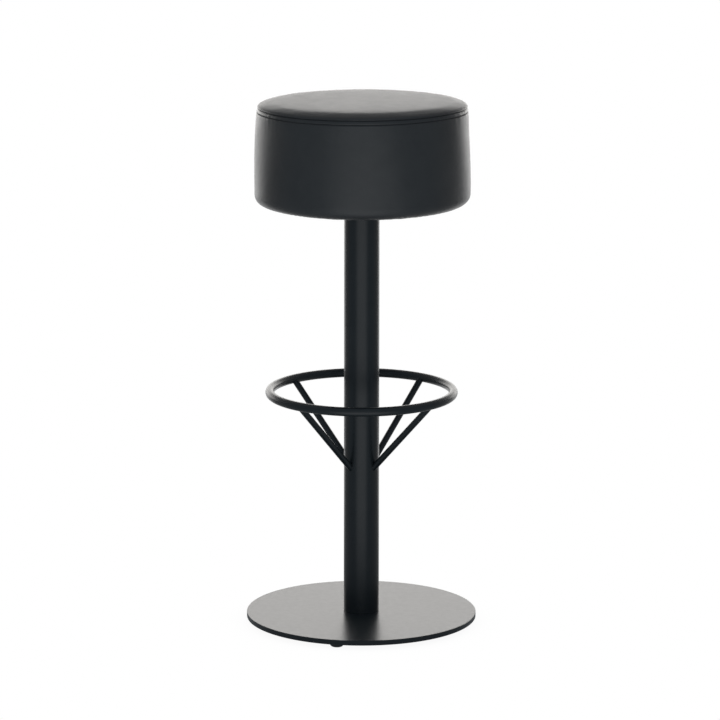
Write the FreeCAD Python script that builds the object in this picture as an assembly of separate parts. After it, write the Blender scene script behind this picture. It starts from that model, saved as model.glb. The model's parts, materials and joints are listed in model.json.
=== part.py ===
import FreeCAD, Part
import math
import os

# Bar stool: a round steel base plate on low glides, a straight tubular column with a ring footrest
# on four struts, and a drum cushion that swivels on top. Millimetres, +Z up. The origin is on the
# floor, on the column's axis, and -Y is the front.

# ---- driving dimensions ----
seat_height = 826.5
seat_underside_z = 665.5

base_r = 180.0
base_thick = 8.0
base_edge_round = 0.8

glide_count = 4
glide_first_angle = -13.4  # degrees from the front towards +X
glide_pitch_r = 162.0
glide_r = 11.0
glide_height = 7.0
glide_edge_r = 5.0
glide_stem_r = 2.5
glide_stem_length = 4.8
glide_stem_room = 0.2

column_r = 27.5
column_wall = 2.0
foot_plug_height = 20.0

base_screw_count = 4
base_screw_pitch_r = 17.0
base_screw_r = 4.0
base_screw_head_r = 7.8
base_screw_head_height = 4.4
base_screw_length = 23.0
base_screw_socket_r = 2.9
base_screw_socket_depth = 2.5

ring_r = 143.0
ring_rod_r = 7.0
ring_z = 367.0
strut_rod_r = 5.0
strut_rise = 45.0  # degrees above the horizontal
strut_angles = {
    "strut_front_left": -41.6,
    "strut_front_right": 48.4,
    "strut_back_right": 138.4,
    "strut_back_left": 228.4,
}

cushion_r = 167.1
cushion_seam_r = 162.8
seam_z = 815.5
bottom_round = 16.0
top_round_width = 20.0  # from the seam in to where the crown starts
top_round_share = 0.81  # of the height between the seam and the crown's top
top_round_bulge = 3.2  # out from a straight line across the rolled edge
cover_thick = 1.2
cover_turned_under_r = 120.0
dust_cover_thick = 0.8
dust_cover_r = 143.0

board_r = 146.0
board_thick = 15.0

plate_side = 150.0
plate_thick = 5.0
plate_corner_r = 10.0
plate_hole_offset = 60.0
plate_screw_r = 4.0
plate_screw_hole_r = 4.5
plate_screw_head_r = 7.0
plate_screw_head_height = 4.4
plate_screw_head_round = 2.6
plate_screw_length = 18.0
plate_screw_socket_r = 2.9
plate_screw_socket_depth = 2.6
tee_nut_barrel_r = 5.5
tee_nut_barrel_length = 12.0
tee_nut_flange_r = 10.5
tee_nut_flange_thick = 1.5

thrust_washer_r = 22.0
thrust_washer_thick = 2.0
bush_wall = 3.0
bush_flange_thick = 3.0
bush_length = 25.0
upper_bush_flange_r = column_r
lower_bush_flange_r = 21.0
housing_length = 80.0
spindle_r = 12.5
running_clearance = 0.05
axial_play = 0.2
spindle_washer_r = 20.0
spindle_washer_thick = 3.0
spindle_screw_r = 5.0
spindle_screw_length = 25.0
spindle_hole_room = 3.0
spindle_screw_head_flats = 17.0
spindle_screw_head_height = 6.4

staple_count = 30
staple_wire = 0.7
staple_crown = 9.0
staple_leg = 8.0
staple_ring_r = 133.0

# ---- levels worked out from them ----
base_bottom_z = glide_height
base_top_z = base_bottom_z + base_thick
cover_inner_z = seat_underside_z + cover_thick
board_bottom_z = cover_inner_z
board_top_z = board_bottom_z + board_thick
plate_top_z = board_bottom_z - dust_cover_thick
plate_bottom_z = plate_top_z - plate_thick
thrust_washer_bottom_z = plate_bottom_z - thrust_washer_thick
bush_top_z = thrust_washer_bottom_z - axial_play
column_top_z = bush_top_z - bush_flange_thick
housing_bottom_z = column_top_z - housing_length
lower_bush_bottom_z = housing_bottom_z - bush_flange_thick
spindle_bottom_z = lower_bush_bottom_z - axial_play
column_inner_r = column_r - column_wall
bush_inner_r = spindle_r + running_clearance
bush_outer_r = bush_inner_r + bush_wall

past = 1.0  # how far a cutting shape or a fused one runs past the face it crosses

UP = FreeCAD.Vector(0, 0, 1)
DOWN = FreeCAD.Vector(0, 0, -1)


def at(radius, angle, z):
    """A point at a radius and an angle in degrees from the front towards +X."""
    turn = math.radians(angle)
    return FreeCAD.Vector(radius * math.sin(turn), -radius * math.cos(turn), z)


def rod(radius, z_low, z_high, x=0.0, y=0.0):
    """A solid upright cylinder between two levels."""
    return Part.makeCylinder(radius, z_high - z_low, FreeCAD.Vector(x, y, z_low), UP)


def pipe(outer_r, inner_r, z_low, z_high):
    """An upright cylinder with a bore right through it."""
    return rod(outer_r, z_low, z_high).cut(rod(inner_r, z_low - past, z_high + past))


def turned(edges):
    """Revolves a closed outline in the XZ plane about the Z axis."""
    face = Part.Face(Part.Wire(edges))
    return face.revolve(FreeCAD.Vector(0, 0, 0), UP, 360)


def xz(radius, z):
    return FreeCAD.Vector(radius, 0, z)


def line(a, b):
    return Part.LineSegment(a, b).toShape()


def arc(a, middle, b):
    return Part.Arc(a, middle, b).toShape()


def outline(points):
    """Straight edges through the points and back to the first."""
    return [line(a, b) for a, b in zip(points, points[1:] + points[:1])]


def around(shape, count, first=0.0):
    """Copies of a shape spaced evenly around the Z axis."""
    copies = []
    for i in range(count):
        copy = shape.copy()
        copy.rotate(FreeCAD.Vector(0, 0, 0), UP, first + 360.0 * i / count)
        copies.append(copy)
    return copies


def hexagon(flats, z_low, z_high, centre):
    """A hexagonal prism that measures flats across its flats."""
    corner_r = flats / math.sqrt(3)
    points = []
    for i in range(6):
        turn = math.radians(60 * i)
        corner = FreeCAD.Vector(corner_r * math.cos(turn), corner_r * math.sin(turn), z_low)
        points.append(centre + corner)
    face = Part.Face(Part.makePolygon(points + points[:1]))
    return face.extrude(FreeCAD.Vector(0, 0, z_high - z_low))


# ---- the stand ----
def base_screw():
    """A countersunk socket screw that points up, at the front of its circle."""
    head_z = base_bottom_z
    shank_z = head_z + base_screw_head_height
    centre = at(base_screw_pitch_r, 0, 0)
    cone = Part.makeCone(
        base_screw_head_r, base_screw_r, base_screw_head_height, centre + UP * head_z, UP
    )
    shank = rod(base_screw_r, shank_z, head_z + base_screw_length, centre.x, centre.y)
    socket_flats = base_screw_socket_r * math.sqrt(3)
    socket = hexagon(socket_flats, head_z - past, head_z + base_screw_socket_depth, centre)
    return cone.fuse(shank).removeSplitter().cut(socket)


def base_screw_room():
    """The same screw with no socket, which the plate and the plug are cut by."""
    centre = at(base_screw_pitch_r, 0, 0)
    cone = Part.makeCone(
        base_screw_head_r, base_screw_r, base_screw_head_height, centre + UP * base_bottom_z, UP
    )
    top = base_bottom_z + base_screw_length
    return cone.fuse(rod(base_screw_r, base_bottom_z, top, centre.x, centre.y))


def base_disc():
    disc = rod(base_r, base_bottom_z, base_top_z)
    rims = [e for e in disc.Edges if e.Curve.TypeId == "Part::GeomCircle"]
    disc = disc.makeFillet(base_edge_round, rims)
    for room in around(base_screw_room(), base_screw_count, 45):
        disc = disc.cut(room)
    for i in range(glide_count):
        centre = at(glide_pitch_r, glide_first_angle + 360.0 * i / glide_count, 0)
        pocket_top = base_bottom_z + glide_stem_length + glide_stem_room
        disc = disc.cut(rod(glide_stem_r, base_bottom_z - past, pocket_top, centre.x, centre.y))
    return disc


def glide():
    """A domed foot with a flat to stand on and a stem that presses into the plate."""
    flat_r = glide_r - glide_edge_r
    slope = math.sqrt(0.5) * glide_edge_r
    foot_edge = xz(flat_r, 0)
    side_low = xz(glide_r, glide_edge_r)
    bulge = xz(flat_r + slope, glide_edge_r - slope)
    stem_top = glide_height + glide_stem_length
    return turned([
        line(xz(0, 0), foot_edge),
        arc(foot_edge, bulge, side_low),
        line(side_low, xz(glide_r, glide_height)),
        line(xz(glide_r, glide_height), xz(glide_stem_r, glide_height)),
        line(xz(glide_stem_r, glide_height), xz(glide_stem_r, stem_top)),
        line(xz(glide_stem_r, stem_top), xz(0, stem_top)),
        line(xz(0, stem_top), xz(0, 0)),
    ])


def column_tube():
    return pipe(column_r, column_inner_r, base_top_z, column_top_z)


def foot_plug():
    plug = rod(column_inner_r, base_top_z, base_top_z + foot_plug_height)
    for room in around(base_screw_room(), base_screw_count, 45):
        plug = plug.cut(room)
    return plug


def footrest_ring():
    return Part.makeTorus(ring_r, ring_rod_r, FreeCAD.Vector(0, 0, ring_z), UP)


def strut(angle):
    """A rod from the column up to the ring, its ends cut to sit against both."""
    rise = math.radians(strut_rise)
    start_r = column_r - 2 * strut_rod_r
    start = at(start_r, angle, ring_z - (ring_r - start_r) * math.tan(rise))
    end = at(ring_r, angle, ring_z)
    along = end - start
    bar = Part.makeCylinder(strut_rod_r, along.Length, start, along)
    return bar.cut(rod(column_r, base_top_z, column_top_z)).cut(footrest_ring())


def bearing_housing():
    return pipe(column_inner_r, bush_outer_r, housing_bottom_z, column_top_z)


def upper_bush():
    barrel = rod(bush_outer_r, column_top_z - bush_length, column_top_z)
    flange = rod(upper_bush_flange_r, column_top_z, bush_top_z)
    bore = rod(bush_inner_r, column_top_z - bush_length - past, bush_top_z + past)
    return barrel.fuse(flange).removeSplitter().cut(bore)


def lower_bush():
    barrel = rod(bush_outer_r, housing_bottom_z, housing_bottom_z + bush_length)
    flange = rod(lower_bush_flange_r, lower_bush_bottom_z, housing_bottom_z)
    bore = rod(bush_inner_r, lower_bush_bottom_z - past, housing_bottom_z + bush_length + past)
    return barrel.fuse(flange).removeSplitter().cut(bore)


# ---- the swivel parts that turn with the seat ----
def swivel_spindle():
    shaft = rod(spindle_r, spindle_bottom_z, plate_top_z)
    hole_top = spindle_bottom_z + spindle_screw_length + spindle_hole_room
    hole = rod(spindle_screw_r, spindle_bottom_z - past, hole_top)
    return shaft.cut(hole)


def thrust_washer():
    return pipe(thrust_washer_r, spindle_r, thrust_washer_bottom_z, plate_bottom_z)


def spindle_washer():
    low = spindle_bottom_z - spindle_washer_thick
    return pipe(spindle_washer_r, spindle_screw_r, low, spindle_bottom_z)


def spindle_screw():
    washer_bottom = spindle_bottom_z - spindle_washer_thick
    head_bottom = washer_bottom - spindle_screw_head_height
    head = hexagon(spindle_screw_head_flats, head_bottom, washer_bottom, FreeCAD.Vector(0, 0, 0))
    shank = rod(spindle_screw_r, washer_bottom - past, spindle_bottom_z + spindle_screw_length)
    return head.fuse(shank).removeSplitter()


def seat_plate():
    side = plate_side
    corner = FreeCAD.Vector(-side / 2, -side / 2, plate_bottom_z)
    plate = Part.makeBox(side, side, plate_thick, corner)
    uprights = [e for e in plate.Edges if abs(e.tangentAt(e.FirstParameter).z) > 0.9]
    plate = plate.makeFillet(plate_corner_r, uprights)
    plate = plate.cut(rod(spindle_r, plate_bottom_z - past, plate_top_z + past))
    for x, y in plate_screw_places():
        plate = plate.cut(rod(plate_screw_hole_r, plate_bottom_z - past, plate_top_z + past, x, y))
    return plate


def plate_screw_places():
    offset = plate_hole_offset
    return [(x, y) for x in (-offset, offset) for y in (-offset, offset)]


def plate_screw(x, y):
    """A button-head socket screw that points up into its tee nut."""
    head_low = plate_bottom_z - plate_screw_head_height
    head = rod(plate_screw_head_r, head_low, plate_bottom_z, x, y)
    low_rim = [e for e in head.Edges if e.BoundBox.ZMax < head_low + 0.01]
    head = head.makeFillet(plate_screw_head_round, low_rim)
    shank = rod(plate_screw_r, plate_bottom_z - past, plate_bottom_z + plate_screw_length, x, y)
    socket_flats = plate_screw_socket_r * math.sqrt(3)
    place = FreeCAD.Vector(x, y, 0)
    socket = hexagon(socket_flats, head_low - past, head_low + plate_screw_socket_depth, place)
    return head.fuse(shank).removeSplitter().cut(socket)


def tee_nut(x, y):
    """A flanged barrel whose flange sits on top of the board."""
    barrel = rod(tee_nut_barrel_r, board_top_z - tee_nut_barrel_length, board_top_z, x, y)
    flange = rod(tee_nut_flange_r, board_top_z, board_top_z + tee_nut_flange_thick, x, y)
    bore_low = board_top_z - tee_nut_barrel_length - past
    bore = rod(plate_screw_r, bore_low, board_top_z + tee_nut_flange_thick + past, x, y)
    return barrel.fuse(flange).removeSplitter().cut(bore)


# ---- the cushion ----
def seat_board():
    board = rod(board_r, board_bottom_z, board_top_z)
    for x, y in plate_screw_places():
        barrel_low = board_top_z - tee_nut_barrel_length
        board = board.cut(rod(tee_nut_barrel_r, barrel_low, board_top_z + past, x, y))
        board = board.cut(rod(plate_screw_hole_r, board_bottom_z - past, barrel_low, x, y))
    for cut in staple_set():
        board = board.cut(cut)
    return board


def cushion_body(inset):
    """The drum's full shape, made smaller all over by inset."""
    low = seat_underside_z + inset
    high = seat_height - inset
    round_r = bottom_round - inset
    flat_r = cushion_r - bottom_round
    side_r = cushion_r - inset
    seam_r = cushion_seam_r - inset
    slope = math.sqrt(0.5) * round_r
    widest_z = low + round_r + (seam_z - low - round_r) / 4
    shoulder_r = seam_r - top_round_width
    shoulder_z = seam_z + (high - seam_z) * top_round_share
    side_low = xz(side_r, low + round_r)
    bottom_edge = xz(flat_r, low)
    shoulder = xz(shoulder_r, shoulder_z)
    across = xz(seam_r, seam_z) - xz(shoulder_r, shoulder_z)
    outwards = FreeCAD.Vector(-across.z, 0, across.x).normalize()
    roll = (xz(seam_r, seam_z) + xz(shoulder_r, shoulder_z)) / 2 + outwards * top_round_bulge
    crown_rise = high - shoulder_z
    crown_r = (shoulder_r ** 2 + crown_rise ** 2) / (2 * crown_rise)
    half_angle = math.asin(shoulder_r / crown_r) / 2
    crown_middle = xz(crown_r * math.sin(half_angle), high - crown_r * (1 - math.cos(half_angle)))
    return turned([
        line(xz(0, low), bottom_edge),
        arc(bottom_edge, xz(flat_r + slope, low + round_r - slope), side_low),
        arc(side_low, xz(side_r, widest_z), xz(seam_r, seam_z)),
        arc(xz(seam_r, seam_z), roll, shoulder),
        arc(shoulder, crown_middle, xz(0, high)),
        line(xz(0, high), xz(0, low)),
    ])


def above_seam():
    return rod(cushion_r + past, seam_z, seat_height + past)


def cover():
    return cushion_body(0).cut(cushion_body(cover_thick))


def cover_top():
    return cover().common(above_seam())


def cover_band():
    """The side band, turned under the drum's bottom edge and stapled there."""
    opening = rod(cover_turned_under_r, seat_underside_z - past, cover_inner_z + past)
    band = cover().cut(above_seam()).cut(opening)
    for cut in staple_set():
        band = band.cut(cut)
    return band


def seat_foam():
    """The foam drum, with a recess for the board and the tee nuts' flanges."""
    foam = cushion_body(cover_thick).cut(rod(board_r, board_bottom_z - past, board_top_z))
    for x, y in plate_screw_places():
        flange_top = board_top_z + tee_nut_flange_thick
        foam = foam.cut(rod(tee_nut_flange_r, board_top_z - past, flange_top, x, y))
    return foam


def dust_cover():
    """Thin cloth that lies on the board, and past the turned-under band on the band."""
    step_r = cover_turned_under_r
    thick = dust_cover_thick
    cloth = turned(outline([
        xz(0, board_bottom_z - thick),
        xz(step_r - thick, board_bottom_z - thick),
        xz(step_r - thick, seat_underside_z - thick),
        xz(dust_cover_r, seat_underside_z - thick),
        xz(dust_cover_r, seat_underside_z),
        xz(step_r, seat_underside_z),
        xz(step_r, board_bottom_z),
        xz(0, board_bottom_z),
    ]))
    for x, y in plate_screw_places():
        cloth = cloth.cut(rod(plate_screw_r, plate_top_z - past, board_bottom_z + past, x, y))
    for cut in staple_set():
        cloth = cloth.cut(cut)
    return cloth


def staple():
    """A square-wire staple at the front, pushed up through the cloth into the board."""
    low = seat_underside_z - dust_cover_thick - staple_wire
    left = -staple_crown / 2
    front = -staple_ring_r - staple_wire / 2
    crown = Part.makeBox(staple_crown, staple_wire, staple_wire, FreeCAD.Vector(left, front, low))
    legs = []
    for x in (left, left + staple_crown - staple_wire):
        corner = FreeCAD.Vector(x, front, low)
        legs.append(Part.makeBox(staple_wire, staple_wire, staple_leg, corner))
    return crown.fuse(legs).removeSplitter()


def staple_set():
    return around(staple(), staple_count, 180.0 / staple_count)


# ---- every sub-part, by the name of its node ----
def parts():
    made = {
        "base_disc": base_disc(),
        "base_screws": Part.makeCompound(around(base_screw(), base_screw_count, 45)),
        "foot_plug": foot_plug(),
        "column_tube": column_tube(),
        "footrest_ring": footrest_ring(),
        "bearing_housing": bearing_housing(),
        "upper_bush": upper_bush(),
        "lower_bush": lower_bush(),
        "swivel_spindle": swivel_spindle(),
        "thrust_washer": thrust_washer(),
        "spindle_washer": spindle_washer(),
        "spindle_screw": spindle_screw(),
        "seat_plate": seat_plate(),
        "seat_board": seat_board(),
        "seat_foam": seat_foam(),
        "cover_band": cover_band(),
        "cover_top": cover_top(),
        "dust_cover": dust_cover(),
        "staples": Part.makeCompound(staple_set()),
    }
    places = plate_screw_places()
    made["seat_plate_screws"] = Part.makeCompound([plate_screw(x, y) for x, y in places])
    made["tee_nuts"] = Part.makeCompound([tee_nut(x, y) for x, y in places])
    for name, angle in strut_angles.items():
        made[name] = strut(angle)
    for i in range(glide_count):
        foot = glide()
        foot.translate(at(glide_pitch_r, glide_first_angle + 360.0 * i / glide_count, 0))
        made[f"glide_{i + 1}"] = foot
    return made


os.makedirs("parts", exist_ok=True)
for name, shape in parts().items():
    shape.exportStep(f"parts/{name}.step")
    box = shape.BoundBox
    print(f"{name}: valid {shape.isValid()}, {len(shape.Solids)} solids, z {box.ZMin:.1f} to {box.ZMax:.1f}")
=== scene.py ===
import json
import math

import bmesh
import bpy
import numpy as np
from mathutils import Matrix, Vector
from mathutils.bvhtree import BVHTree


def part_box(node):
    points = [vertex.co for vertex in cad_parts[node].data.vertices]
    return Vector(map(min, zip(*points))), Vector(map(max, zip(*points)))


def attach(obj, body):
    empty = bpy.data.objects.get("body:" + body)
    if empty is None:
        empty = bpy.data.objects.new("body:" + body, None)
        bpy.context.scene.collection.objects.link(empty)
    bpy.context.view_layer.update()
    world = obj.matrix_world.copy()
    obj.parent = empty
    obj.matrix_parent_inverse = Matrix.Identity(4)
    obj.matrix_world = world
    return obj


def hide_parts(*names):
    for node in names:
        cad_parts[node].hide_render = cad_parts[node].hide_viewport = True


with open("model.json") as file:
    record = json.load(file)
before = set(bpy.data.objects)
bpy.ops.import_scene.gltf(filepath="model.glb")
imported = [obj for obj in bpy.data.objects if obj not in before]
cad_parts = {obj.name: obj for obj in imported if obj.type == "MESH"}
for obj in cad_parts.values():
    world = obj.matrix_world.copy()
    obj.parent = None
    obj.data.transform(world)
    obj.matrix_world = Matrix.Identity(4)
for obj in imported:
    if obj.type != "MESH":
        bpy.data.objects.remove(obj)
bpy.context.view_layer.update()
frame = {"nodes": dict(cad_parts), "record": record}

# The looks of a bar stool: a drum cushion in black faux leather on a black powder-coated stand.
# Everything is in metres, in the CAD frame: +Z up, -Y the front.
MM = 0.001

# ---- sizes read from the frame ----
band_low, band_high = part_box("cover_band")
top_low, top_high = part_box("cover_top")
board_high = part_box("seat_board")[1]
cloth_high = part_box("dust_cover")[1]
column_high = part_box("column_tube")[1]
ring_low, ring_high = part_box("footrest_ring")

CUSHION_R = band_high.x
UNDERSIDE_Z = band_low.z
SEAM_Z = top_low.z
CROWN_Z = top_high.z
SEAM_R = top_high.x
COLUMN_R = column_high.x
RING_ROD_R = (ring_high.z - ring_low.z) / 2
RING_R = ring_high.x - RING_ROD_R
RING_Z = (ring_high.z + ring_low.z) / 2
STRUTS = ("strut_front_left", "strut_front_right", "strut_back_right", "strut_back_left")
STRUT_ROD_R = 5 * MM
STRUT_RISE = math.radians(45)

# ---- the cushion's own sizes ----
SEGMENTS = 288  # faces around the cushion, a multiple of 4
COVER_THICK = 1.2 * MM
BOTTOM_ROUND = 16 * MM
TURNED_UNDER_R = 120 * MM  # how far in the band is turned under the board
ROLL_START_R = 112 * MM  # the top's grid ends here and its rings begin
ROLL_ROWS = 20
ROLL_SHARE = 0.79  # of the top's height, in its rolled edge
DOME_SHARE = 0.21  # and in its low dome
NEAR_SEAM_ROWS = 13  # rows of the band, 1 mm apart under the seam
SIDE_ROWS = 13
BOTTOM_ROWS = 8
UNDER_ROWS = 6
SEAM_TURN = 0.7 * MM  # the panels' edges turn in this far
SEAM_ALLOWANCE = 3.4 * MM  # and then run this much further inside
FOAM_GAP = 3.0 * MM  # from the cover's outside in to the foam
CLEARANCE = 0.3 * MM  # between the foam and the hard pieces in it
DUST_CLOTH_R = cloth_high.x
DUST_CLOTH_THICK = 0.8 * MM
STAPLE_COUNT = 30

# ---- the sewing ----
TOPSTITCH_DROP = 6.4 * MM
TOPSTITCH_DEPTH = 1.4 * MM
STITCH_PITCH = 4.0 * MM
STITCH_LENGTH = 2.7 * MM
THREAD_R = 0.45 * MM
SEWN_LINE_WIDTH = 0.9 * MM
SEAM_GROOVE = 0.8 * MM  # how deep the two panels' edges dip into their seam
STRIP_LEAN = 1.2 * MM  # how far the strip between seam and topstitch leans in at its top
BAND_PUCKER = 0.10 * MM
BAND_PUCKER_REACH = 9 * MM  # down from the topstitch
TOP_PUCKER = 0.16 * MM
SIDE_UNEVENNESS = 0.55 * MM
TOP_UNEVENNESS = 0.12 * MM
BOTTOM_PLEAT = 0.6 * MM
CLOSING_DEPTH = 1.3 * MM  # of the band's own seam, at the back
CLOSING_END_R = 1.2 * TURNED_UNDER_R  # it shows no further in under the seat
CLOSING_WIDTH = 1.6 * MM
CLOSING_RIDGE = 0.4 * MM  # its seam allowance, felt through the cover on both sides
CLOSING_RIDGE_PLACE = 4.5 * MM
CLOSING_RIDGE_WIDTH = 3 * MM
SEWN_HIGHER_RIGHT = 0.8 * MM  # how far the sewn cover rides up on the right, and down on the left
SEWN_HIGHER_FRONT = 3.8 * MM  # and up at the front, and down at the back
SEWN_UP = 0.4 * MM  # and up all round at the seam, fading to nothing at the underside
SEWN_WAVER = 0.25 * MM
BOTTOM_LEAN = 0.85  # the share of that lean at the bottom edge
EXTRA_TOP_LEAN = 0.15  # and what the top has besides
COVER_SHIFT = 0.7 * MM  # to the right of the column's axis

# ---- the cloth simulation ----
CLOTH_FRAMES = 20
SWELL_SHARE = 0.35  # of the cloth's own movement, since the foam holds it back
MOST_SWELL = 0.7 * MM  # no point moves further, and the crown starts this much lower
SMOOTHING_PASSES = 24

# ---- the weld beads ----
BEAD_R = 1.3 * MM
BEAD_POINTS = 72
BEAD_RIPPLES = 14
SURFACE_SEARCH_STEPS = 30

# ---- the studio: radiances of its dim and bright parts, and where they are, in metres ----
ROOM_DIM = 0.27
ROOM_TINT = (0.86, 1.0, 1.12)  # only of the light from the front
TINT_FADE_Y = (-0.2, 0.4)
OVERHEAD_GLOW = 0.12
OVERHEAD_Z = (0.55, 1.0)  # of the direction, where the glow starts and where it is full
WALL_COLOR = (1, 0.98, 0.95)
WALL_GLOW = 2.4
WALL_TOP_GLOW = 0.9
LOW_WALL_GLOW = 0.7
WALL_Y = 3.0
WALL_X = -0.45
WALL_WIDTH = 6.9
WALL_FOOT = 0.42  # the full glow starts here
WALL_HEIGHT = 1.50  # and ends here
WALL_TOP = 1.90
FRONT_FILL_GLOW = 0.28
FRONT_FILL_PLACE = (0, -4.5, 1.7)
FRONT_FILL_SIZE = (2.4, 1.6)
FLOOR_SIZE = 30.0
BACK_FLOOR_GLOW = 0.95
BACK_WEDGE = (1.15, 0.85)  # |x / y| where the wedge has faded out and where it is full
BACK_WEDGE_Y = (0.1, 1.2)
FRONT_FLOOR_GLOW = 0.72
FRONT_WEDGE = (0.85, 0.4)
FRONT_WEDGE_Y = (-0.2, -0.6)
FLOOR_TINT_FADE_Y = (-0.5, 0.5)
SHADOW_REACH = 0.15  # of the faint painted contact shadow, where ambient occlusion dims the floor's glow
SHADOW_LEVEL = 0.94  # the floor's white at its darkest
LENS = 227.6
CAMERA_PLACE = (-0.0027, -6.929, 1.904)
CAMERA_TURN = (math.pi / 2 - 0.2113, -0.0014, 0.00028)


# ---- small helpers ----
def smooth_step(low, high, x):
    """0 at low, 1 at high, and smooth between; high may be the lower number."""
    t = np.clip((x - low) / (high - low), 0, 1)
    return t * t * (3 - 2 * t)


def bell(x, width):
    """1 at 0, falling smoothly to 1/e at the width."""
    return np.exp(-((x / width) ** 2))


def coordinates(mesh):
    flat = np.empty(len(mesh.vertices) * 3)
    mesh.vertices.foreach_get("co", flat)
    return flat.reshape(-1, 3)


def set_coordinates(mesh, points):
    mesh.vertices.foreach_set("co", np.asarray(points, float).ravel())
    mesh.update()


def make_piece(name, points, faces):
    mesh = bpy.data.meshes.new(name)
    mesh.from_pydata([tuple(p) for p in points], [], faces)
    mesh.validate()
    mesh.polygons.foreach_set("use_smooth", [True] * len(mesh.polygons))
    mesh.update()
    piece = bpy.data.objects.new(name, mesh)
    bpy.context.scene.collection.objects.link(piece)
    return piece


def apply_modifiers(piece):
    """Leaves the piece with its evaluated mesh and no modifiers."""
    graph = bpy.context.evaluated_depsgraph_get()
    graph.update()
    made = bpy.data.meshes.new_from_object(piece.evaluated_get(graph))
    piece.modifiers.clear()
    old = piece.data
    piece.data = made
    bpy.data.meshes.remove(old)
    made.name = piece.name


def subdivide(piece):
    modifier = piece.modifiers.new("Subdivision", "SUBSURF")
    modifier.levels = 1
    modifier.render_levels = 1
    apply_modifiers(piece)


def thicken(piece, thickness):
    modifier = piece.modifiers.new("Thickness", "SOLIDIFY")
    modifier.thickness = thickness
    modifier.offset = -1
    apply_modifiers(piece)
    piece.data.polygons.foreach_set("use_smooth", [True] * len(piece.data.polygons))


def waves(angle, lowest, highest, seed):
    """An irregular wave around the circle, about 1 high, from seeded cosines."""
    random = np.random.default_rng(seed)
    counts = np.arange(lowest, highest + 1)
    phases = random.uniform(0, 2 * math.pi, len(counts))
    sizes = random.uniform(0.3, 1.0, len(counts))
    total = sum(a * np.cos(k * angle + p) for k, p, a in zip(counts, phases, sizes))
    return total / np.sqrt((sizes ** 2).sum() / 2) / 1.6


# ---- materials ----
class Nodes:
    """A material's node tree, with short calls to add nodes and link them."""

    def __init__(self, name):
        self.material = bpy.data.materials.new(name)
        self.material.use_nodes = True
        self.tree = self.material.node_tree
        self.shader = self.tree.nodes["Principled BSDF"]
        self.place = self.add("ShaderNodeTexCoord").outputs["Object"]

    def add(self, kind, **values):
        node = self.tree.nodes.new(kind)
        for key, value in values.items():
            if hasattr(node, key):
                setattr(node, key, value)
            else:
                node.inputs[key.replace("_", " ")].default_value = value
        return node

    def link(self, output, target):
        self.tree.links.new(output, target)

    def noise(self, scale, detail=3.0, roughness=0.55, vector=None):
        node = self.add("ShaderNodeTexNoise", Scale=scale, Detail=detail, Roughness=roughness)
        self.link(vector or self.place, node.inputs["Vector"])
        return node.outputs["Fac"]

    def cells(self, scale, feature="F1", smoothness=0.4, vector=None):
        node = self.add("ShaderNodeTexVoronoi", feature=feature, Scale=scale)
        if feature == "SMOOTH_F1":
            node.inputs["Smoothness"].default_value = smoothness
        self.link(vector or self.place, node.inputs["Vector"])
        return node.outputs["Distance"]

    def stretched(self, scale):
        node = self.add("ShaderNodeMapping")
        node.inputs["Scale"].default_value = scale
        self.link(self.place, node.inputs["Vector"])
        return node.outputs["Vector"]

    def remap(self, value, low, high, to_low, to_high):
        node = self.add("ShaderNodeMapRange")
        for socket, number in zip(node.inputs[1:5], (low, high, to_low, to_high)):
            socket.default_value = number
        self.link(value, node.inputs["Value"])
        return node.outputs["Result"]

    def blend(self, factor, first, second):
        node = self.add("ShaderNodeMix", data_type="RGBA")
        one, other = (socket for socket in node.inputs if socket.type == "RGBA")
        one.default_value = (*first, 1)
        other.default_value = (*second, 1)
        self.link(factor, node.inputs["Factor"])
        return next(socket for socket in node.outputs if socket.type == "RGBA")

    def sum(self, first, second, share):
        """first + share * second"""
        node = self.add("ShaderNodeMath", operation="MULTIPLY_ADD")
        self.link(second, node.inputs[0])
        node.inputs[1].default_value = share
        self.link(first, node.inputs[2])
        return node.outputs["Value"]

    def bump(self, height, distance):
        node = self.add("ShaderNodeBump", Distance=distance, Strength=1.0)
        self.link(height, node.inputs["Height"])
        self.link(node.outputs["Normal"], self.shader.inputs["Normal"])

    def surface(self, color, roughness, **constants):
        self.link(color, self.shader.inputs["Base Color"])
        self.link(roughness, self.shader.inputs["Roughness"])
        for key, value in constants.items():
            self.shader.inputs[key.replace("_", " ")].default_value = value
        return self.material


def powder_coat():
    """Satin black baked powder, with its fine orange peel."""
    n = Nodes("powder_coat")
    mottle = n.noise(35, 4)
    speck = n.noise(2600, 2, 0.6)
    color = n.blend(n.remap(mottle, 0.3, 0.7, 0, 1), (0.011, 0.015, 0.018), (0.015, 0.019, 0.022))
    roughness = n.remap(n.noise(120, 3), 0.3, 0.7, 0.29, 0.32)
    n.bump(n.sum(n.noise(420, 2, 0.4), speck, 0.3), 0.000007)
    return n.surface(color, roughness, IOR=1.43)


def faux_leather():
    """Smooth black coated fabric with a faint fine grain."""
    n = Nodes("faux_leather")
    grain = n.cells(1300, "SMOOTH_F1", 0.5)
    creases = n.noise(420, 4, 0.6)
    tone = n.remap(n.noise(28, 5), 0.3, 0.7, 0, 1)
    color = n.blend(tone, (0.028, 0.030, 0.032), (0.034, 0.036, 0.038))
    roughness = n.remap(n.sum(n.noise(60, 4), creases, 0.4), 0.45, 0.95, 0.355, 0.395)
    n.bump(n.sum(grain, creases, 0.5), 0.00007)
    return n.surface(color, roughness, IOR=1.45)


def plain_metal(name, low, high, roughness):
    """Turned or plated steel with fine tool marks."""
    n = Nodes(name)
    marks = n.noise(900, 3, 0.6, n.stretched((1, 1, 6)))
    color = n.blend(n.remap(n.noise(160, 3), 0.3, 0.7, 0, 1), low, high)
    rough = n.remap(marks, 0.3, 0.7, roughness - 0.06, roughness + 0.08)
    n.bump(marks, 0.00003)
    return n.surface(color, rough, Metallic=1.0)


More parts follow.
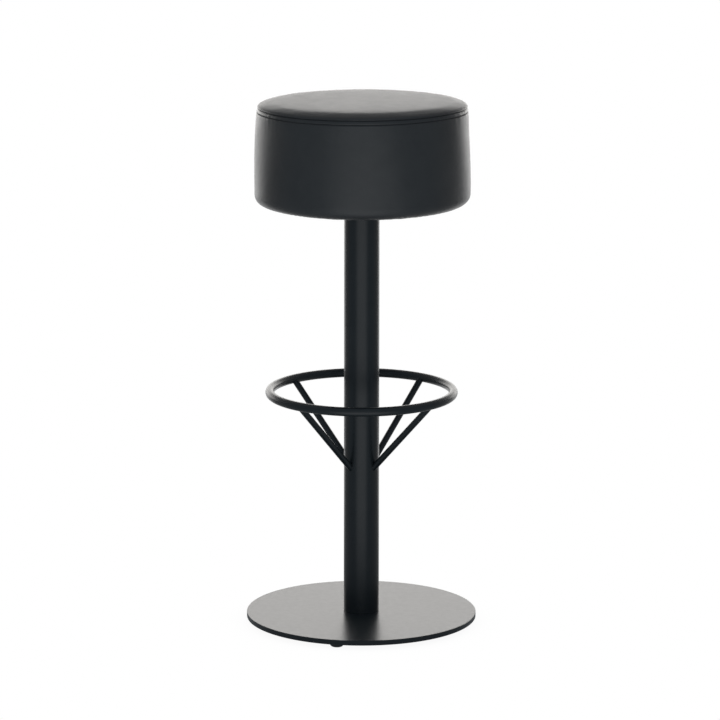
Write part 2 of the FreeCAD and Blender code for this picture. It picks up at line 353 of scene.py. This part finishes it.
def moulded(name, low, high, roughness):
    """Moulded nylon with a fine matt grain."""
    n = Nodes(name)
    color = n.blend(n.remap(n.noise(90, 3), 0.3, 0.7, 0, 1), low, high)
    rough = n.remap(n.noise(500, 2), 0.3, 0.7, roughness - 0.05, roughness + 0.05)
    n.bump(n.noise(1500, 2), 0.00004)
    return n.surface(color, rough, IOR=1.5)


def plywood():
    """Birch plywood: pale plies stacked along Z, with grain along X."""
    n = Nodes("plywood")
    plies = n.add("ShaderNodeTexWave", wave_type="BANDS", bands_direction="Z", Scale=110, Distortion=0.6)
    n.link(n.place, plies.inputs["Vector"])
    grain = n.noise(60, 6, 0.6, n.stretched((1, 14, 1)))
    color = n.blend(n.sum(plies.outputs["Fac"], grain, 0.5), (0.62, 0.43, 0.25), (0.36, 0.21, 0.10))
    n.bump(grain, 0.0002)
    return n.surface(color, n.remap(grain, 0.3, 0.7, 0.55, 0.75))


def foam():
    """Open-cell polyurethane foam."""
    n = Nodes("foam")
    pores = n.cells(700)
    color = n.blend(n.remap(pores, 0.1, 0.6, 0, 1), (0.55, 0.48, 0.30), (0.82, 0.76, 0.55))
    n.bump(pores, 0.0006)
    return n.surface(color, n.remap(pores, 0, 1, 0.85, 0.98))


def dust_cloth():
    """Black spun-bonded cloth with its grid of pressed dots."""
    n = Nodes("dust_cloth")
    dots = n.cells(620, vector=n.stretched((1, 1, 0.02)))
    fibres = n.noise(1800, 5, 0.7)
    color = n.blend(n.remap(fibres, 0.35, 0.65, 0, 1), (0.012, 0.012, 0.013), (0.035, 0.035, 0.038))
    n.bump(n.sum(dots, fibres, 0.4), 0.00025)
    return n.surface(color, n.remap(dots, 0, 0.6, 0.75, 0.95), Sheen_Weight=0.15)


def thread():
    """Twisted black polyester sewing thread."""
    n = Nodes("thread")
    twist = n.add("ShaderNodeTexWave", wave_type="BANDS", bands_direction="DIAGONAL", Scale=900)
    n.link(n.place, twist.inputs["Vector"])
    color = n.blend(twist.outputs["Fac"], (0.004, 0.004, 0.005), (0.010, 0.010, 0.011))
    n.bump(twist.outputs["Fac"], 0.0001)
    return n.surface(color, n.remap(n.noise(700), 0.3, 0.7, 0.7, 0.85), IOR=1.3)


MATERIALS = {
    "powder_coat": powder_coat(),
    "faux_leather": faux_leather(),
    "machined_steel": plain_metal("machined_steel", (0.42, 0.42, 0.43), (0.56, 0.56, 0.57), 0.3),
    "zinc_steel": plain_metal("zinc_steel", (0.50, 0.50, 0.52), (0.66, 0.66, 0.68), 0.36),
    "glide_nylon": moulded("glide_nylon", (0.010, 0.010, 0.011), (0.016, 0.016, 0.017), 0.45),
    "bush_nylon": moulded("bush_nylon", (0.020, 0.020, 0.021), (0.034, 0.034, 0.035), 0.5),
    "plywood": plywood(),
    "foam": foam(),
    "dust_cloth": dust_cloth(),
    "thread": thread(),
}


def paint(piece, name):
    piece.data.materials.clear()
    piece.data.materials.append(MATERIALS[name])


# ---- the cushion's form ----
def top_height(radius):
    """The top panel's height at a radius: a low crown that rolls down to the seam."""
    share = np.clip(radius / SEAM_R, 0, 1)
    roll = (1 - share ** 13.5) ** 0.37
    dome = 1 - share ** 4
    return SEAM_Z + (CROWN_Z - MOST_SWELL - SEAM_Z) * (ROLL_SHARE * roll + DOME_SHARE * dome)


def band_profile():
    """(radius, height) from just under the seam down the side and in under the bottom edge."""
    round_z = UNDERSIDE_Z + BOTTOM_ROUND
    widest_z = round_z + (SEAM_Z - round_z) / 4
    near_seam = SEAM_Z - np.arange(1, NEAR_SEAM_ROWS + 1) * MM
    heights = np.concatenate([near_seam, np.linspace(near_seam[-1], round_z, SIDE_ROWS + 1)[1:]])
    curve = (CUSHION_R - SEAM_R) / ((SEAM_Z - round_z) * (SEAM_Z - widest_z))
    radii = CUSHION_R - curve * (heights - round_z) * (heights - widest_z)
    side = list(zip(radii, heights))
    edge_r = CUSHION_R - BOTTOM_ROUND
    turn = np.linspace(0, math.pi / 2, BOTTOM_ROWS + 1)[1:]
    edge = [(edge_r + BOTTOM_ROUND * math.cos(t), round_z - BOTTOM_ROUND * math.sin(t)) for t in turn]
    under = [(r, UNDERSIDE_Z) for r in np.linspace(edge_r, TURNED_UNDER_R, UNDER_ROWS + 1)[1:]]
    return side + edge + under


def ring_angle(index):
    return -math.pi / 4 + 2 * math.pi * index / SEGMENTS


def disc_point(a, b, radius):
    """A point of the square -1..1 moved onto a disc, so that its rings are round."""
    if a == 0 and b == 0:
        return 0.0, 0.0
    if abs(a) > abs(b):
        reach, turn = a, math.pi / 4 * b / a
    else:
        reach, turn = b, math.pi / 2 - math.pi / 4 * a / b
    return radius * reach * math.cos(turn), radius * reach * math.sin(turn)


def rim_index(k, n):
    """The disc grid's vertex at place k around its rim."""
    side, step = divmod(k, n)
    i, j = ((n, step), (n - step, n), (0, n - step), (step, 0))[side % 4]
    return i * (n + 1) + j


def ring_faces(first, second):
    """Faces between two rings of vertex numbers."""
    count = len(first)
    return [
        (first[k], second[k], second[(k + 1) % count], first[(k + 1) % count])
        for k in range(count)
    ]


def cushion_form():
    """The closed skin of the cushion.

    Returns its points, the faces of the top, the band and the cap underneath, its rings of vertex
    numbers, and the seam's place among the rings.
    """
    n = SEGMENTS // 4
    points = []
    for i in range(n + 1):
        for j in range(n + 1):
            x, y = disc_point(2 * i / n - 1, 2 * j / n - 1, ROLL_START_R)
            points.append((x, y, top_height(math.hypot(x, y))))
    top_faces = [
        (i * (n + 1) + j, (i + 1) * (n + 1) + j, (i + 1) * (n + 1) + j + 1, i * (n + 1) + j + 1)
        for i in range(n)
        for j in range(n)
    ]
    rings = [[rim_index(k, n) for k in range(SEGMENTS)]]

    def add_ring(radius, height):
        start = len(points)
        for k in range(SEGMENTS):
            turn = ring_angle(k)
            points.append((radius * math.cos(turn), radius * math.sin(turn), height))
        rings.append(list(range(start, start + SEGMENTS)))

    for share in np.linspace(0, 1, ROLL_ROWS + 1)[1:]:
        radius = ROLL_START_R + (SEAM_R - ROLL_START_R) * (1 - (1 - share) ** 2.2)
        add_ring(radius, float(top_height(radius)))
        top_faces += ring_faces(rings[-2], rings[-1])
    seam = len(rings) - 1
    band_faces = []
    for radius, height in band_profile():
        add_ring(radius, height)
        band_faces += ring_faces(rings[-2], rings[-1])
    points.append((0, 0, UNDERSIDE_Z))
    hub = len(points) - 1
    last = rings[-1]
    cap_faces = [(last[k], hub, last[(k + 1) % SEGMENTS]) for k in range(SEGMENTS)]
    return np.array(points, float), top_faces, band_faces, cap_faces, rings, seam


def smoothed(values, edges, passes):
    """Each vertex's value averaged with its neighbours', several times over, so that no crease is left."""
    first, second = edges.T
    neighbours = np.bincount(edges.ravel(), minlength=len(values))[:, None]
    for _ in range(passes):
        total = np.zeros_like(values)
        np.add.at(total, first, values[second])
        np.add.at(total, second, values[first])
        values = (values + total / neighbours) / 2
    return values


def swell(points, faces, seam_ring):
    """Blows the skin up a little with a cloth simulation, held at the seam and underneath."""
    form = make_piece("cushion_form", points, faces)
    held = form.vertex_groups.new(name="held")
    held.add([int(i) for i in np.flatnonzero(points[:, 2] < UNDERSIDE_Z + 2 * MM)], 1.0, "REPLACE")
    held.add(seam_ring, 1.0, "REPLACE")
    modifier = form.modifiers.new("Cloth", "CLOTH")
    cloth = modifier.settings
    cloth.quality = 6
    cloth.mass = 0.4
    cloth.tension_stiffness = 40
    cloth.compression_stiffness = 40
    cloth.shear_stiffness = 20
    cloth.bending_stiffness = 1.5
    cloth.use_pressure = True
    cloth.uniform_pressure_force = 4
    cloth.vertex_group_mass = "held"
    cloth.effector_weights.gravity = 0
    scene = bpy.context.scene
    scene.frame_start = 1
    scene.frame_end = CLOTH_FRAMES
    modifier.point_cache.frame_end = CLOTH_FRAMES
    for number in range(1, CLOTH_FRAMES + 1):
        scene.frame_set(number)
    graph = bpy.context.evaluated_depsgraph_get()
    blown = coordinates(form.evaluated_get(graph).data)
    edges = np.array([e.vertices[:] for e in form.data.edges])
    scene.frame_set(1)
    bpy.data.objects.remove(form)
    moved = smoothed((blown - points) * SWELL_SHARE, edges, SMOOTHING_PASSES)
    length = np.linalg.norm(moved, axis=1, keepdims=True)
    return points + moved * np.minimum(1, MOST_SWELL / np.maximum(length, 1e-9))


def part_of(points, faces):
    """Only the points that these faces use, the faces renumbered, and each point's new number."""
    used = sorted({i for face in faces for i in face})
    number = {old: new for new, old in enumerate(used)}
    return points[used], [tuple(number[i] for i in face) for face in faces], number


def tuck(points, faces, ring, steps):
    """Adds rings that follow one ring inwards, each step (inwards, up) in metres."""
    points = list(map(np.array, points))
    before = ring
    for inwards, up in steps:
        start = len(points)
        for i in ring:
            x, y, z = points[i]
            radius = math.hypot(x, y)
            scale = (radius - inwards) / radius
            points.append(np.array((x * scale, y * scale, z + up)))
        after = list(range(start, start + len(ring)))
        faces = faces + ring_faces(before, after)
        before = after
    return np.array(points), faces


def cylinder_terms(points):
    """Radius, angle from the front towards +X, and the outward direction of each point."""
    radius = np.hypot(points[:, 0], points[:, 1])
    angle = np.arctan2(points[:, 0], -points[:, 1])
    outward = np.zeros_like(points)
    outward[:, 0] = points[:, 0] / np.maximum(radius, 1e-9)
    outward[:, 1] = points[:, 1] / np.maximum(radius, 1e-9)
    return radius, angle, outward


def sewn(points):
    """The points moved as the sewing pulls the cover: a slight lean, a shift and an uneven hand."""
    radius, angle, _ = cylinder_terms(points)
    outer = smooth_step(DUST_CLOTH_R + 2 * MM, CUSHION_R - 2 * MM, radius)
    high = smooth_step(UNDERSIDE_Z, SEAM_Z, points[:, 2])
    reach = np.maximum(outer, high)
    lean = SEWN_HIGHER_RIGHT * points[:, 0] - SEWN_HIGHER_FRONT * points[:, 1]
    moved = points.copy()
    moved[:, 2] += lean / CUSHION_R * reach * (BOTTOM_LEAN + EXTRA_TOP_LEAN * high) + SEWN_UP * high
    moved[:, 2] += SEWN_WAVER * waves(angle, 2, 6, seed=5) * high * smooth_step(0.6 * SEAM_R, SEAM_R, radius)
    moved[:, 0] += COVER_SHIFT * reach
    return moved


def unevenness(angle, height, seed):
    """Broad soft hollows and swellings of the skin over its foam, about 1 high."""
    random = np.random.default_rng(seed)
    total = 0
    for _ in range(14):
        around = random.integers(2, 9)
        tall = random.uniform(0.02, 0.08)
        phase, lift = random.uniform(0, 2 * math.pi, 2)
        total = total + np.cos(around * angle + phase) * np.cos(height / tall + lift)
    return total / 3.5


def dress_band(piece):
    """Presses the sewing into the side band: the topstitch, the puckers and the closing seam."""
    mesh = piece.data
    points = coordinates(mesh)
    radius, angle, outward = cylinder_terms(points)
    below = SEAM_Z - points[:, 2]
    on_side = smooth_step(-1 * MM, 1 * MM, below)
    line = bell(below - TOPSTITCH_DROP, SEWN_LINE_WIDTH)
    depth = -TOPSTITCH_DEPTH * line - SEAM_GROOVE * bell(below, SEWN_LINE_WIDTH)
    depth -= STRIP_LEAN * np.clip(1 - below / TOPSTITCH_DROP, 0, 1)
    fading = np.exp(-np.maximum(below - TOPSTITCH_DROP, 0) / BAND_PUCKER_REACH)
    pucker = waves(angle, 30, 110, seed=21) * fading
    depth += BAND_PUCKER * pucker * on_side
    above_bottom = points[:, 2] - UNDERSIDE_Z
    middle = smooth_step(TOPSTITCH_DROP, 40 * MM, below) * smooth_step(0, 25 * MM, above_bottom)
    depth += SIDE_UNEVENNESS * unevenness(angle, points[:, 2], seed=8) * middle
    back = np.abs(np.abs(angle) - math.pi) * radius
    closing = on_side * (radius > CLOSING_END_R)
    depth -= CLOSING_DEPTH * bell(back, CLOSING_WIDTH) * closing
    depth += CLOSING_RIDGE * bell(back - CLOSING_RIDGE_PLACE, CLOSING_RIDGE_WIDTH) * closing
    flat = points[:, 2] < UNDERSIDE_Z + 2 * MM
    under = smooth_step(0.9, 1.0, (CUSHION_R - radius) / BOTTOM_ROUND) * flat
    pleats = bell(radius - (CUSHION_R - BOTTOM_ROUND), 7 * MM) * (points[:, 2] < UNDERSIDE_Z + 6 * MM)
    points[:, 2] += BOTTOM_PLEAT * pleats * np.abs(waves(angle, 30, 70, seed=4))
    points += outward * (depth * (1 - under))[:, None]
    set_coordinates(mesh, sewn(points))


def dress_top(piece):
    """Puckers the top panel's rolled edge and lays a faint unevenness over its face."""
    mesh = piece.data
    points = coordinates(mesh)
    radius, angle, outward = cylinder_terms(points)
    above = points[:, 2] - SEAM_Z
    gathered = 0.35 + 0.65 * smooth_step(0.3, 1, np.sin(-angle))
    pucker = waves(angle, 60, 140, seed=22) * bell(above - 4 * MM, 3.5 * MM) * gathered
    pulled = (SEAM_GROOVE + STRIP_LEAN) * bell(above, SEWN_LINE_WIDTH)
    points += outward * (TOP_PUCKER * pucker * (radius > SEAM_R - 12 * MM) - pulled)[:, None]
    face = smooth_step(SEAM_R, 0.7 * SEAM_R, radius)
    x, y = points[:, 0] / SEAM_R, points[:, 1] / SEAM_R
    settle = np.cos(2.3 * x + 1.1 * y + 0.4) + 0.6 * np.cos(3.7 * y - 2.9 * x + 1.9)
    points[:, 2] += TOP_UNEVENNESS * settle * face
    set_coordinates(mesh, sewn(points))


def cushion_covers():
    """The sewn cover's two panels; returns the side band."""
    points, top_faces, band_faces, cap_faces, rings, seam = cushion_form()
    points = swell(points, top_faces + band_faces + cap_faces, rings[seam])
    pieces = []
    for name, faces, steps in (
        ("cushion_top_panel", top_faces, ((SEAM_TURN, -0.45 * MM), (SEAM_ALLOWANCE, -0.7 * MM))),
        ("cushion_side_band", band_faces, ((SEAM_TURN, -0.1 * MM), (SEAM_ALLOWANCE, -0.35 * MM))),
    ):
        own_points, own_faces, number = part_of(points, faces)
        ring = [number[i] for i in rings[seam]]
        own_points, own_faces = tuck(own_points, own_faces, ring, steps)
        piece = make_piece(name, own_points, own_faces)
        fix_normals(piece)
        subdivide(piece)
        pieces.append(piece)
    top, band = pieces
    dress_top(top)
    dress_band(band)
    for piece, nodes in ((top, ("cover_top",)), (band, ("cover_band",))):
        thicken(piece, COVER_THICK)
        paint(piece, "faux_leather")
        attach(piece, "seat")
        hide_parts(*nodes)
    return band


def fix_normals(piece):
    """Turns every face outwards."""
    work = bmesh.new()
    work.from_mesh(piece.data)
    bmesh.ops.recalc_face_normals(work, faces=work.faces)
    high = max(work.faces, key=lambda f: f.calc_center_median().z + f.calc_center_median().xy.length)
    outward = high.calc_center_median()
    if high.normal.dot(outward - Vector((0, 0, UNDERSIDE_Z))) < 0:
        bmesh.ops.reverse_faces(work, faces=work.faces)
    work.to_mesh(piece.data)
    work.free()
    piece.data.polygons.foreach_set("use_smooth", [True] * len(piece.data.polygons))


def lathe(name, profile, segments, closed=True):
    """A piece turned about the Z axis from (radius, height) pairs."""
    points = []
    faces = []
    rings = []
    for radius, height in profile:
        rings.append(list(range(len(points), len(points) + segments)))
        for k in range(segments):
            turn = 2 * math.pi * k / segments
            points.append((radius * math.cos(turn), radius * math.sin(turn), height))
    following = rings[1:] + rings[:1] if closed else rings[1:]
    for first, second in zip(rings, following):
        faces += ring_faces(first, second)
    return make_piece(name, points, faces)


def tube(points, faces, centres, radii, ends, sides=8):
    """Adds a tube along the centres; its ends are "loop" or "capped"."""
    centres = np.asarray(centres, float)
    count = len(centres)
    if ends == "loop":
        along = np.roll(centres, -1, axis=0) - np.roll(centres, 1, axis=0)
    else:
        along = np.gradient(centres, axis=0)
    along /= np.linalg.norm(along, axis=1, keepdims=True)
    middle = centres.mean(axis=0)
    aside = centres - middle if ends == "loop" else np.tile((0, 0, 1.0), (count, 1))
    aside = aside - (aside * along).sum(axis=1, keepdims=True) * along
    aside /= np.linalg.norm(aside, axis=1, keepdims=True)
    across = np.cross(along, aside)
    rings = []
    for i in range(count):
        rings.append(list(range(len(points), len(points) + sides)))
        for k in range(sides):
            turn = 2 * math.pi * k / sides
            spoke = aside[i] * math.cos(turn) + across[i] * math.sin(turn)
            points.append(centres[i] + radii[i] * spoke)
    for first, second in zip(rings, rings[1:]):
        faces += ring_faces(first, second)
    if ends == "loop":
        faces += ring_faces(rings[-1], rings[0])
    else:
        faces += [tuple(reversed(rings[0])), tuple(rings[-1])]


def topstitch(band):
    """One row of thread stitches, each pulled down at both ends into the band."""
    skin = BVHTree.FromPolygons([v.co for v in band.data.vertices], [p.vertices for p in band.data.polygons])
    random = np.random.default_rng(31)
    points, faces = [], []
    count = round(2 * math.pi * SEAM_R / STITCH_PITCH)
    spread = np.linspace(-1, 1, 7)
    for k in range(count):
        turn = 2 * math.pi * k / count
        row = np.array([[SEAM_R * math.sin(turn), -SEAM_R * math.cos(turn), SEAM_Z - TOPSTITCH_DROP]])
        place = sewn(row)[0]
        start = Vector((place[0] * 1.2, place[1] * 1.2, place[2]))
        inward = Vector((-math.sin(turn), math.cos(turn), 0))
        spot, _, _, _ = skin.ray_cast(start, inward)
        if spot is None:
            continue
        tangent = np.array((math.cos(turn), math.sin(turn), random.uniform(-0.08, 0.08)))
        outward = -np.array(inward)
        centres = []
        for s in spread:
            sink = THREAD_R * (0.55 - 1.5 * s * s)
            centres.append(np.array(spot) + tangent * (s * STITCH_LENGTH / 2) + outward * sink)
        radii = THREAD_R * np.sqrt(np.clip(1.02 - np.abs(spread) ** 3, 0.05, 1))
        tube(points, faces, centres, radii, "capped")
    thread_row = make_piece("topstitch_thread", points, faces)
    paint(thread_row, "thread")
    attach(thread_row, "seat")


def foam_drum():
    """The foam inside the cover, hollow underneath for the board and the tee nuts' flanges."""
    nut_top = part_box("tee_nuts")[1].z + CLEARANCE
    board_r = board_high.x + CLEARANCE
    low = cloth_high.z + 0.4 * MM
    profile = [(0.5 * MM, nut_top), (board_r, nut_top), (board_r, low)]
    round_r = BOTTOM_ROUND - FOAM_GAP
    edge_r = CUSHION_R - BOTTOM_ROUND
    for t in np.linspace(0.15, 1, 8) * math.pi / 2:
        profile.append((edge_r + round_r * math.sin(t), low + round_r * (1 - math.cos(t))))
    side_rise = SEAM_Z - 6 * MM - low - round_r
    for share in np.linspace(0.15, 1, 10):
        height = low + round_r + side_rise * share
        profile.append((CUSHION_R - FOAM_GAP - (CUSHION_R - SEAM_R) * share ** 1.5, height))
    top_r = SEAM_R - 2 * FOAM_GAP
    for share in np.linspace(0.03, 1, 16) ** 0.8:
        radius = top_r * (1 - share) + 0.5 * MM
        cover_z = float(top_height(radius * SEAM_R / (SEAM_R - FOAM_GAP)))
        profile.append((radius, cover_z - 1.5 * FOAM_GAP))
    drum = lathe("seat_foam_drum", profile, 192)
    set_coordinates(drum.data, sewn(coordinates(drum.data)))
    paint(drum, "foam")
    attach(drum, "seat")
    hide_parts("seat_foam")


def stapled_dust_cloth():
    """Black cloth stapled over the underside, drawn in a little at every staple."""
    staple_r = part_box("staples")[1].x - 0.35 * MM
    face_r = 104 * MM
    radii = np.concatenate([np.linspace(1 * MM, face_r, 18), np.linspace(106 * MM, DUST_CLOTH_R, 30)])
    cloth = lathe("underside_dust_cloth", [(r, 0) for r in radii], 360, closed=False)
    points = coordinates(cloth.data)
    radius, angle, outward = cylinder_terms(points)
    inner = smooth_step(TURNED_UNDER_R + 1 * MM, TURNED_UNDER_R - 3 * MM, radius)
    highest = UNDERSIDE_Z + (cloth_high.z - UNDERSIDE_Z) * inner
    points[:, 2] = highest
    staples = 0.5 + 0.5 * np.cos(STAPLE_COUNT * (angle - math.pi / STAPLE_COUNT))
    slack = smooth_step(face_r, 116 * MM, radius)
    points[:, 2] -= 0.35 * MM * slack * (0.5 + 0.5 * waves(angle, 12, 50, seed=14)) * (1 - 0.7 * staples)
    points[:, 2] -= 0.7 * MM * bell(radius - 112 * MM, 7 * MM) * (0.6 + 0.4 * waves(angle, 6, 24, seed=15))
    hem = smooth_step(staple_r, DUST_CLOTH_R, radius)
    points += outward * (0.8 * MM * hem * waves(angle, 5, 40, seed=16) - 0.8 * MM * hem)[:, None]
    points[:, 2] = np.minimum(points[:, 2], highest)
    set_coordinates(cloth.data, points)
    thicken(cloth, DUST_CLOTH_THICK)
    paint(cloth, "dust_cloth")
    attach(cloth, "seat")
    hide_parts("dust_cover")


def weld_bead(name, inside, start, along):
    """A small painted bead where a strut's surface, followed from start, first lies inside a tube."""
    random = np.random.default_rng(len(name))
    aside = np.cross(along, (0, 0, 1.0))
    aside /= np.linalg.norm(aside)
    across = np.cross(along, aside)
    centres = []
    for turn in np.linspace(0, 2 * math.pi, BEAD_POINTS, endpoint=False):
        spoke = STRUT_ROD_R * (aside * math.cos(turn) + across * math.sin(turn))
        outer, inner = 0.0, 1.0
        for _ in range(SURFACE_SEARCH_STEPS):
            middle = (outer + inner) / 2
            if inside(start + spoke + along * middle):
                inner = middle
            else:
                outer = middle
        centres.append(start + spoke + along * outer)
    turns = np.linspace(0, 2 * math.pi, BEAD_POINTS, endpoint=False)
    phase = random.uniform(0, 2 * math.pi)
    radii = BEAD_R * (1 + 0.10 * np.cos(BEAD_RIPPLES * turns + phase) + 0.05 * np.cos(3 * turns))
    points, faces = [], []
    tube(points, faces, centres, radii, "loop", sides=12)
    bead = make_piece(name, points, faces)
    paint(bead, "powder_coat")
    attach(bead, "stand")


def weld_beads():
    """A bead at both ends of every strut."""
    def in_column(p):
        return math.hypot(p[0], p[1]) < COLUMN_R

    def in_ring(p):
        return math.hypot(math.hypot(p[0], p[1]) - RING_R, p[2] - RING_Z) < RING_ROD_R

    for strut in STRUTS:
        low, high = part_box(strut)
        centre = (low + high) / 2
        turn = math.atan2(centre.x, -centre.y)
        outward = np.array((math.sin(turn), -math.cos(turn), 0))
        middle_r = (COLUMN_R + RING_R) / 2
        middle = outward * middle_r
        middle[2] = RING_Z - (RING_R - middle_r) * math.tan(STRUT_RISE)
        half = (RING_R - COLUMN_R) / 2
        rise = half * math.tan(STRUT_RISE)
        up = outward * half + np.array((0, 0, rise))
        bead_name = strut.replace("strut", "weld")
        weld_bead(bead_name + "_ring", in_ring, middle, up)
        weld_bead(bead_name + "_column", in_column, middle, -1.2 * up)


side_band = cushion_covers()
topstitch(side_band)
foam_drum()
stapled_dust_cloth()
weld_beads()

# ---- the CAD nodes keep their shape and get their slot's material ----
SLOT_OF = {row["node"]: row["material_slot"] for row in frame["record"]["subparts"]}
for node_name, node in frame["nodes"].items():
    paint(node, SLOT_OF[node_name])


# ---- floor, light and camera ----
def field(tree, value, low, high, to_low=0.0, to_high=1.0, kind="SMOOTHSTEP"):
    """The value moved from one range to another; low may be the higher number."""
    node = tree.nodes.new("ShaderNodeMapRange")
    node.interpolation_type = kind
    for socket, number in zip(node.inputs[1:5], (low, high, to_low, to_high)):
        socket.default_value = number
    tree.links.new(value, node.inputs["Value"])
    return node.outputs["Result"]


def feed(tree, socket, value):
    """Sets a socket to a number, or links an output to it."""
    if isinstance(value, (int, float)):
        socket.default_value = value
    else:
        tree.links.new(value, socket)


def maths(tree, operation, first, second=0.0):
    node = tree.nodes.new("ShaderNodeMath")
    node.operation = operation
    feed(tree, node.inputs[0], first)
    feed(tree, node.inputs[1], second)
    return node.outputs["Value"]


def seen_by_camera(tree, shown, otherwise):
    """The first value for camera rays, and the second for every other ray."""
    path = tree.nodes.new("ShaderNodeLightPath")
    node = tree.nodes.new("ShaderNodeMix")
    tree.links.new(path.outputs["Is Camera Ray"], node.inputs["Factor"])
    feed(tree, node.inputs["A"], otherwise)
    feed(tree, node.inputs["B"], shown)
    return node.outputs["Result"]


def tinted(tree, white_share):
    """White for camera rays; for every other ray the room's cool tint where the light isn't white."""
    path = tree.nodes.new("ShaderNodeLightPath")
    white = maths(tree, "MAXIMUM", path.outputs["Is Camera Ray"], white_share)
    node = tree.nodes.new("ShaderNodeMix")
    node.data_type = "RGBA"
    tree.links.new(white, node.inputs["Factor"])
    cool, plain = (socket for socket in node.inputs if socket.type == "RGBA")
    cool.default_value = (*ROOM_TINT, 1)
    plain.default_value = (1, 1, 1, 1)
    return next(socket for socket in node.outputs if socket.type == "RGBA")


def studio_floor():
    """White to the camera; for reflections, dim with a bright wedge behind and a softer one in front."""
    corners = [(x * FLOOR_SIZE, y * FLOOR_SIZE, 0) for x, y in ((-1, -1), (1, -1), (1, 1), (-1, 1))]
    floor = make_piece("studio_floor", corners, [(0, 1, 2, 3)])
    material = bpy.data.materials.new("studio_floor")
    material.use_nodes = True
    tree = material.node_tree
    tree.nodes.clear()
    geometry = tree.nodes.new("ShaderNodeNewGeometry")
    axes = tree.nodes.new("ShaderNodeSeparateXYZ")
    tree.links.new(geometry.outputs["Position"], axes.inputs["Vector"])
    x, y = axes.outputs["X"], axes.outputs["Y"]
    aside = maths(tree, "ABSOLUTE", maths(tree, "DIVIDE", x, y))
    back = maths(tree, "MULTIPLY", field(tree, aside, *BACK_WEDGE), field(tree, y, *BACK_WEDGE_Y))
    front = maths(tree, "MULTIPLY", field(tree, aside, *FRONT_WEDGE), field(tree, y, *FRONT_WEDGE_Y))
    back_glow = maths(tree, "MULTIPLY", back, BACK_FLOOR_GLOW)
    front_glow = maths(tree, "MULTIPLY", front, FRONT_FLOOR_GLOW)
    bright = maths(tree, "ADD", back_glow, front_glow)
    light = maths(tree, "ADD", bright, ROOM_DIM)
    # painted contact shadow: ambient occlusion darkens the floor's white glow to the camera near the stool,
    # and no lamp casts it
    shade = tree.nodes.new("ShaderNodeAmbientOcclusion")
    shade.inputs["Distance"].default_value = SHADOW_REACH
    shown = field(tree, shade.outputs["AO"], 0.0, 1.0, SHADOW_LEVEL, 1.0, "LINEAR")
    glow = tree.nodes.new("ShaderNodeEmission")
    untinted = maths(tree, "DIVIDE", bright, light)
    white_share = maths(tree, "MAXIMUM", untinted, field(tree, y, *FLOOR_TINT_FADE_Y))
    tree.links.new(tinted(tree, white_share), glow.inputs["Color"])
    tree.links.new(seen_by_camera(tree, shown, light), glow.inputs["Strength"])
    clear = tree.nodes.new("ShaderNodeBsdfTransparent")
    sides = tree.nodes.new("ShaderNodeMixShader")
    output = tree.nodes.new("ShaderNodeOutputMaterial")
    tree.links.new(geometry.outputs["Backfacing"], sides.inputs["Fac"])
    tree.links.new(glow.outputs["Emission"], sides.inputs[1])
    tree.links.new(clear.outputs["BSDF"], sides.inputs[2])
    tree.links.new(sides.outputs["Shader"], output.inputs["Surface"])
    floor.data.materials.append(material)


def studio_world():
    """A dim room that is white to the camera."""
    world = bpy.data.worlds.new("studio")
    bpy.context.scene.world = world
    world.use_nodes = True
    tree = world.node_tree
    background = tree.nodes["Background"]
    direction = tree.nodes.new("ShaderNodeTexCoord").outputs["Generated"]
    axes = tree.nodes.new("ShaderNodeSeparateXYZ")
    tree.links.new(direction, axes.inputs["Vector"])
    overhead = maths(tree, "MULTIPLY", field(tree, axes.outputs["Z"], *OVERHEAD_Z), OVERHEAD_GLOW)
    dim = maths(tree, "ADD", ROOM_DIM, overhead)
    behind = field(tree, axes.outputs["Y"], *TINT_FADE_Y)
    tree.links.new(tinted(tree, behind), background.inputs["Color"])
    tree.links.new(seen_by_camera(tree, 1.0, dim), background.inputs["Strength"])


def soft_box(name, place, target, width, height, radiance, color=(1, 1, 1)):
    """A rectangle of even light that the camera doesn't see."""
    light = bpy.data.lights.new(name, "AREA")
    light.shape = "RECTANGLE"
    light.size = width
    light.size_y = height
    light.energy = radiance * math.pi * width * height
    light.color = color
    lamp = bpy.data.objects.new(name, light)
    bpy.context.scene.collection.objects.link(lamp)
    lamp.location = place
    lamp.visible_camera = False
    direction = np.array(target, float) - np.array(place, float)
    flat = math.hypot(direction[0], direction[1])
    lamp.rotation_euler = (math.atan2(flat, -direction[2]), 0, math.atan2(-direction[0], direction[1]))


def camera():
    data = bpy.data.cameras.new("camera")
    data.lens = LENS
    data.sensor_width = 36.0
    data.clip_end = 100
    eye = bpy.data.objects.new("camera", data)
    bpy.context.scene.collection.objects.link(eye)
    eye.location = CAMERA_PLACE
    eye.rotation_euler = CAMERA_TURN
    bpy.context.scene.camera = eye


studio_floor()
studio_world()
for name, low, high, glow in (
    ("back_wall", WALL_FOOT, WALL_HEIGHT, WALL_GLOW),
    ("back_wall_foot", 0, WALL_FOOT, LOW_WALL_GLOW),
    ("back_wall_top", WALL_HEIGHT, WALL_TOP, WALL_TOP_GLOW),
):
    place = (WALL_X, WALL_Y, (low + high) / 2)
    soft_box(name, place, (WALL_X, 0, (low + high) / 2), WALL_WIDTH, high - low, glow, WALL_COLOR)
soft_box("front_fill", FRONT_FILL_PLACE, (0, 0, 0.5), *FRONT_FILL_SIZE, FRONT_FILL_GLOW)
camera()
bpy.context.scene.view_settings.view_transform = "Standard"
